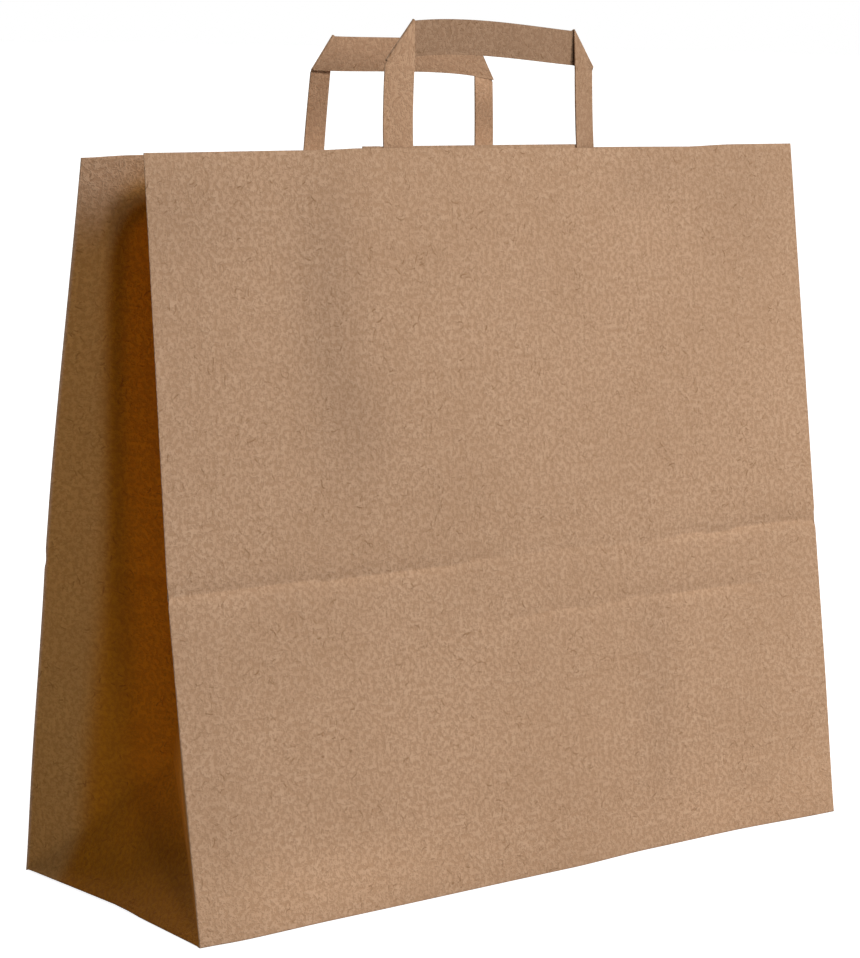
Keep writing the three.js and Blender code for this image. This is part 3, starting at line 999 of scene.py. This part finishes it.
class Nodes:
    def __init__(self, tree):
        self.tree = tree

    def add(self, kind, inputs=(), **settings):
        node = self.tree.nodes.new(kind)
        for key, value in settings.items():
            setattr(node, key, value)
        for socket, value in dict(inputs).items():
            if isinstance(value, bpy.types.NodeSocket):
                self.tree.links.new(value, node.inputs[socket])
            else:
                node.inputs[socket].default_value = value
        return node

    def math(self, operation, *values):
        inputs = dict(enumerate(values))
        return self.add("ShaderNodeMath", inputs, operation=operation).outputs[0]

    def fade(self, value, low, high):
        """0 at low and 1 at high, eased."""
        inputs = {"Value": value, "From Min": low, "From Max": high}
        node = self.add("ShaderNodeMapRange", inputs, interpolation_type="SMOOTHSTEP")
        return node.outputs[0]

    def mixed(self, factor, first, second, mode="MIX"):
        node = self.tree.nodes.new("ShaderNodeMix")
        node.data_type = "RGBA"
        node.blend_type = mode
        for key, value in (("Factor_Float", factor), ("A_Color", first), ("B_Color", second)):
            place = next(socket for socket in node.inputs if socket.identifier == key)
            if isinstance(value, bpy.types.NodeSocket):
                self.tree.links.new(value, place)
            else:
                place.default_value = value
        return next(socket for socket in node.outputs if socket.identifier == "Result_Color")


def linear(red, green, blue):
    """A colour from 0 to 255 as a shader wants it."""
    parts = [value / 255 for value in (red, green, blue)]
    return [p / 12.92 if p <= 0.04045 else ((p + 0.055) / 1.055) ** 2.4 for p in parts] + [1]


print("node helpers ready")

# %% [markdown]
# One layer of fibres: the plane is divided into irregular cells, and every cell holds one short
# curved stroke, turned, bent and weighted by the cell's own random numbers. The group gives the
# stroke's height, highest on its middle line and 0 beside it.

# %% Node group for one layer of fibres


def fibre_layer():
    tree = bpy.data.node_groups.new("fibre layer", "ShaderNodeTree")
    face = tree.interface
    face.new_socket("Place", in_out="INPUT", socket_type="NodeSocketVector")
    face.new_socket("Scale", in_out="INPUT", socket_type="NodeSocketFloat")
    face.new_socket("Shift", in_out="INPUT", socket_type="NodeSocketVector")
    face.new_socket("Half Width", in_out="INPUT", socket_type="NodeSocketFloat")
    face.new_socket("Height", in_out="OUTPUT", socket_type="NodeSocketFloat")
    n = Nodes(tree)
    given = n.add("NodeGroupInput").outputs
    moved = n.add("ShaderNodeVectorMath", {0: given["Place"], 1: given["Shift"]},
                  operation="ADD").outputs[0]
    scaled = n.add("ShaderNodeVectorMath", {0: moved, 3: given["Scale"]},
                   operation="SCALE").outputs[0]
    cells = n.add("ShaderNodeTexVoronoi", {"Vector": scaled, "Scale": 1.0, "Randomness": 1.0},
                  voronoi_dimensions="2D", feature="F1").outputs
    local = n.add("ShaderNodeVectorMath", {0: scaled, 1: cells["Position"]},
                  operation="SUBTRACT").outputs[0]
    random = n.add("ShaderNodeSeparateColor", {"Color": cells["Color"]}).outputs
    turned = n.add("ShaderNodeVectorRotate",
                   {"Vector": local, "Angle": n.math("MULTIPLY", random[0], 2 * math.pi)},
                   rotation_type="Z_AXIS").outputs[0]
    part = n.add("ShaderNodeSeparateXYZ", {"Vector": turned}).outputs
    bend = n.math("MULTIPLY_ADD", random[1], 2.6, -1.3)
    arc = n.math("MULTIPLY", n.math("MULTIPLY", part[0], part[0]), bend)
    off_line = n.math("ABSOLUTE", n.math("SUBTRACT", part[1], arc))
    ridge = n.fade(off_line, given["Half Width"], 0.0)
    half_length = n.math("MULTIPLY_ADD", random[2], 0.3, 0.2)
    along_it = n.math("DIVIDE", n.math("ABSOLUTE", part[0]), half_length)
    weight = n.math("FRACT", n.math("MULTIPLY", random[0], 7.3))
    weight = n.math("POWER", weight, 3.0)
    height = n.math("MULTIPLY", n.math("MULTIPLY", ridge, n.fade(along_it, 1.0, 0.6)), weight)
    n.add("NodeGroupOutput", {"Height": height})
    return tree


fibres = fibre_layer()
print("fibre group:", len(fibres.nodes), "nodes")

# %% [markdown]
# The kraft material puts the layers together. Clouds and small dimples change the tone by a few
# levels, fibres are darker than the sheet and gather in patches, and the same pattern drives a
# fine relief. The painted light and shade and the painted shade of the left side fold come from
# the numbers at the points, and the outer side has three dark specks. The inner side of the sheet
# is the same paper without the painted fold shade.

# %% Kraft paper
KRAFT = linear(190, 154, 124)
KRAFT_DARK = linear(168, 132, 101)
KRAFT_LIGHT = linear(204, 170, 141)
FIBRE = linear(132, 96, 62)
STRAP = linear(178, 142, 112)
STRAP_DARK = linear(160, 124, 95)
STRAP_LIGHT = linear(190, 155, 125)
FOLD_SHADE_TINTS = ((0.92, 0.73, 0.33, 1), (0.88, 0.62, 0.03, 1), (1.75, 1.55, 1.0, 1))
SPECKS = (
    (FRONT_AT + 0.094, 0.092, 0),
    (FRONT_AT + 0.114, 0.0925, 0),
    (FRONT_AT + 0.179, 0.006, 0),
)
SPECK_RADIUS = 0.0016
FIBRE_LAYERS = (
    (120.0, (0.0, 0.0, 0.0), 0.085),
    (150.0, (0.37, 0.11, 0.0), 0.10),
    (190.0, (0.71, 0.53, 0.0), 0.13),
)


def kraft_material(name, plain, dark, light, is_outer=False):
    material = bpy.data.materials.new(name)
    material.use_nodes = True
    n = Nodes(material.node_tree)
    n.tree.nodes.clear()
    sheet = n.add("ShaderNodeUVMap", uv_map="sheet").outputs[0]

    def noise(scale, detail, roughness):
        return n.add("ShaderNodeTexNoise", {"Vector": sheet, "Scale": scale, "Detail": detail,
                                            "Roughness": roughness},
                     noise_dimensions="2D").outputs[0]

    cloud = n.fade(noise(11.0, 3.0, 0.55), 0.35, 0.65)
    mottle = n.fade(noise(90.0, 3.0, 0.6), 0.3, 0.7)
    dimple = n.fade(noise(360.0, 2.0, 0.7), 0.35, 0.65)
    strokes = []
    for scale, shift, half_width in FIBRE_LAYERS:
        inputs = {"Place": sheet, "Scale": scale, "Shift": shift, "Half Width": half_width}
        layer = n.add("ShaderNodeGroup", inputs, node_tree=fibres)
        strokes.append(layer.outputs["Height"])
    fibre = n.math("MAXIMUM", n.math("MAXIMUM", strokes[0], strokes[1]), strokes[2])
    fibre = n.math("MULTIPLY", fibre, n.fade(noise(45.0, 2.0, 0.5), 0.36, 0.62))
    colour = n.mixed(n.math("MULTIPLY", cloud, 0.22), plain, dark)
    colour = n.mixed(n.math("MULTIPLY", mottle, 0.30), colour, light)
    colour = n.mixed(n.math("MULTIPLY", dimple, 0.8), colour, dark)
    colour = n.mixed(n.math("MULTIPLY", fibre, 0.75), colour, FIBRE)
    # The painted light and shade at the points, used as a factor on the colour.
    painted_shading = n.add("ShaderNodeAttribute", attribute_name="painted_shading").outputs["Fac"]
    tone = n.math("ADD", painted_shading, 1.0)
    tones = n.add("ShaderNodeCombineColor", {0: tone, 1: tone, 2: tone}).outputs[0]
    colour = n.mixed(1.0, colour, tones, "MULTIPLY")
    if is_outer:
        for place in SPECKS:
            away = n.add("ShaderNodeVectorMath", {0: sheet, 1: place}, operation="DISTANCE")
            speck = n.fade(away.outputs["Value"], SPECK_RADIUS, 0.0)
            colour = n.mixed(n.math("MULTIPLY", speck, 0.8), colour, FIBRE)
        # Painted shade in the left side fold, darker and warmer in three steps.
        fold = n.add("ShaderNodeAttribute", attribute_name="fold").outputs["Fac"]
        for start, tint in enumerate(FOLD_SHADE_TINTS):
            colour = n.mixed(n.fade(fold, start, start + 1), colour, tint, "MULTIPLY")
    relief = n.math("MULTIPLY_ADD", fibre, 0.5, n.math("MULTIPLY", dimple, -1.0))
    relief = n.math("MULTIPLY_ADD", mottle, 0.8, relief)
    bump = n.add("ShaderNodeBump", {"Height": relief, "Strength": 1.0, "Distance": 0.0003})
    shader = n.add("ShaderNodeBsdfPrincipled", {"Base Color": colour, "Roughness": 0.85,
                                                "Normal": bump.outputs[0]})
    shader.inputs["Specular IOR Level"].default_value = 0.2
    n.add("ShaderNodeOutputMaterial", {"Surface": shader.outputs[0]})
    return material


outer_kraft = kraft_material("kraft paper", KRAFT, KRAFT_DARK, KRAFT_LIGHT, is_outer=True)
plain_kraft = kraft_material("plain kraft paper", KRAFT, KRAFT_DARK, KRAFT_LIGHT)
strip_kraft = kraft_material("kraft strip", STRAP, STRAP_DARK, STRAP_LIGHT)
bag.data.materials.append(outer_kraft)
bag.data.materials.append(plain_kraft)
for piece in patches.values():
    piece.data.materials.append(plain_kraft)
for piece in handles.values():
    piece.data.materials.append(strip_kraft)
for node in frame["nodes"].values():
    node.data.materials.clear()
    node.data.materials.append(strip_kraft if "handle" in node.name else plain_kraft)
print("materials:", [material.name for material in bpy.data.materials])

# %% [markdown]
# The object stands on a white floor that runs out of the picture. The floor is white to the
# camera and dull to every other ray, because a bright floor would fill the folds with light.

# %% Floor and surroundings
floor_bm = bmesh.new()
bmesh.ops.create_grid(floor_bm, x_segments=1, y_segments=1, size=30.0)
floor = new_object("floor", floor_bm)
floor_material = bpy.data.materials.new("floor")
floor_material.use_nodes = True
n = Nodes(floor_material.node_tree)
n.tree.nodes.clear()
seen = n.add("ShaderNodeLightPath").outputs["Is Camera Ray"]
paint = n.add("ShaderNodeBsdfDiffuse", {"Color": (0.6, 0.6, 0.6, 1)})
glow_strength = n.math("MULTIPLY", seen, 0.9)
glow = n.add("ShaderNodeEmission", {"Color": (1, 1, 1, 1), "Strength": glow_strength})
both = n.add("ShaderNodeAddShader", {0: paint.outputs[0], 1: glow.outputs[0]})
n.add("ShaderNodeOutputMaterial", {"Surface": both.outputs[0]})
floor.data.materials.append(floor_material)

world = bpy.data.worlds.new("surroundings")
bpy.context.scene.world = world
world.use_nodes = True
n = Nodes(world.node_tree)
n.tree.nodes.clear()
seen = n.add("ShaderNodeLightPath").outputs["Is Camera Ray"]
strength = n.math("MULTIPLY_ADD", seen, 0.92, 0.08)
sky = n.add("ShaderNodeBackground", {"Color": (1, 1, 1, 1), "Strength": strength})
n.add("ShaderNodeOutputWorld", {"Surface": sky.outputs[0]})
print("floor and surroundings ready")

# %% [markdown]
# Two lamps light the bag from the front. The main one is large and stands to the right, so the
# deep side fold stays dark. The second is narrow and a little to the left, and lights only the
# outer strip of the rear half of that fold. The third stands behind the bag, for its rear wall.

# %% Lamps
AIM = Vector((0, 0, 0.2))
LAMP_DISTANCE = 2.5


def lamp(kind, name, turn, height, power):
    """A lamp that shines at the bag from a turn to the right and a height, both in degrees."""
    data = bpy.data.lights.new(name, kind)
    data.energy = power
    piece = bpy.data.objects.new(name, data)
    turn, height = math.radians(turn), math.radians(height)
    toward = Vector((
        math.sin(turn) * math.cos(height), -math.cos(turn) * math.cos(height), math.sin(height)
    ))
    piece.rotation_euler = toward.to_track_quat("Z", "Y").to_euler()
    piece.location = AIM + toward * LAMP_DISTANCE
    bpy.context.scene.collection.objects.link(piece)
    return data


panel_power = math.pi**2 * LAMP_DISTANCE**2
lamp("AREA", "main light", 32, 30, 0.69 * panel_power).size = 1.1
lamp("SUN", "side light", -16, 25, 0.22 * math.pi).angle = math.radians(8)
lamp("SUN", "back light", 180, 30, 0.70 * math.pi).angle = math.radians(20)
bpy.context.scene.view_settings.view_transform = "Standard"
print("lamps ready")
